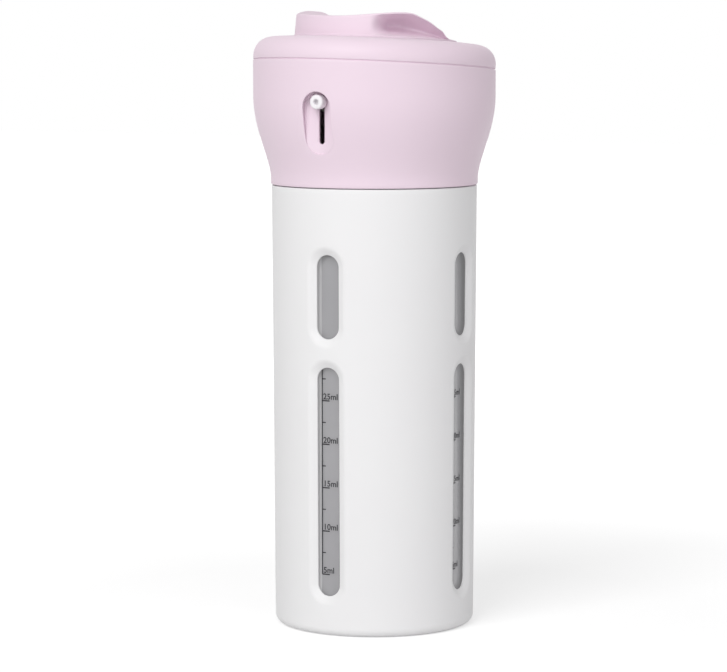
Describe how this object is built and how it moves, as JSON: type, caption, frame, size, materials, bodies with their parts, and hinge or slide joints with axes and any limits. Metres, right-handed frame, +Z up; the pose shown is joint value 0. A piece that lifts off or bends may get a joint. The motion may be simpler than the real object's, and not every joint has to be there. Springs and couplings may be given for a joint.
{
  "type": "travel dispenser bottle",
  "caption": "Round travel dispenser: windowed sleeve holding refill bottles under a pump head with a slanted lid, a turning selector knob and a side spout.",
  "frame": {"origin": "centre of the base, on the surface that the bottle stands on", "axes": "+Z up along the bottle, -Y towards the spout"},
  "size_m": [0.0846, 0.0847, 0.2149],
  "materials": {
    "white_shell": "satin white moulded plastic",
    "pink_shell": "satin pale pink moulded plastic",
    "white_spout": "smooth white plastic",
    "clear_bottle": "clear plastic, slightly smoky through the windows",
    "natural_plastic": "natural uncoloured plastic",
    "seal_rubber": "soft grey rubber",
    "spring_steel": "bright spring wire"
  },
  "bodies": {
    "base": {"outer_sleeve": "white_shell", "sleeve_collar": "white_shell"},
    "head": {"head_shell": "pink_shell", "top_lid": "pink_shell", "pump_deck": "white_shell", "manifold": "natural_plastic", "valve_seal": "seal_rubber", "pump_barrel": "natural_plastic", "return_spring": "spring_steel", "refill_bottle_front": "clear_bottle", "refill_bottle_right": "clear_bottle", "refill_bottle_back": "clear_bottle", "refill_bottle_left": "clear_bottle", "bottle_cap_front": "white_shell", "bottle_cap_right": "white_shell", "bottle_cap_back": "white_shell", "bottle_cap_left": "white_shell", "neck_seal_front": "seal_rubber", "neck_seal_right": "seal_rubber", "neck_seal_back": "seal_rubber", "neck_seal_left": "seal_rubber", "dip_tube_front": "natural_plastic", "dip_tube_right": "natural_plastic", "dip_tube_back": "natural_plastic", "dip_tube_left": "natural_plastic"},
    "carriage": {"press_carriage": "natural_plastic", "piston_seal": "seal_rubber", "spout_nozzle": "white_spout", "outlet_ball": "spring_steel"},
    "knob": {"selector_knob": "pink_shell"},
    "shaft": {"drive_shaft": "natural_plastic"},
    "valve": {"valve_disc": "natural_plastic"}
  },
  "joints": [
    {"name": "head_lift", "type": "slide", "parent": "base", "child": "head", "axis": [0, 0, 1], "range_m": [0, 0.168]},
    {"name": "press", "type": "slide", "parent": "head", "child": "carriage", "axis": [0, 0, -1], "range_m": [0, 0.011], "stiffness_N_per_m": 400, "springref_m": -0.006, "deforming": ["return_spring"]},
    {"name": "knob_turn", "type": "hinge", "parent": "carriage", "child": "knob", "pos_m": [0, 0, 0.1965], "axis": [0.0156, 0.0581, 0.9982], "continuous": true},
    {"name": "shaft_turn", "type": "hinge", "parent": "carriage", "child": "shaft", "pos_m": [0, 0, 0.175], "axis": [0, 0, 1], "continuous": true},
    {"name": "valve_turn", "type": "hinge", "parent": "head", "child": "valve", "pos_m": [0, 0, 0.15], "axis": [0, 0, 1], "continuous": true}
  ],
  "couplings": [
    {"joint": "shaft_turn", "follows": "knob_turn", "ratio": 1},
    {"joint": "valve_turn", "follows": "knob_turn", "ratio": 1}
  ]
}
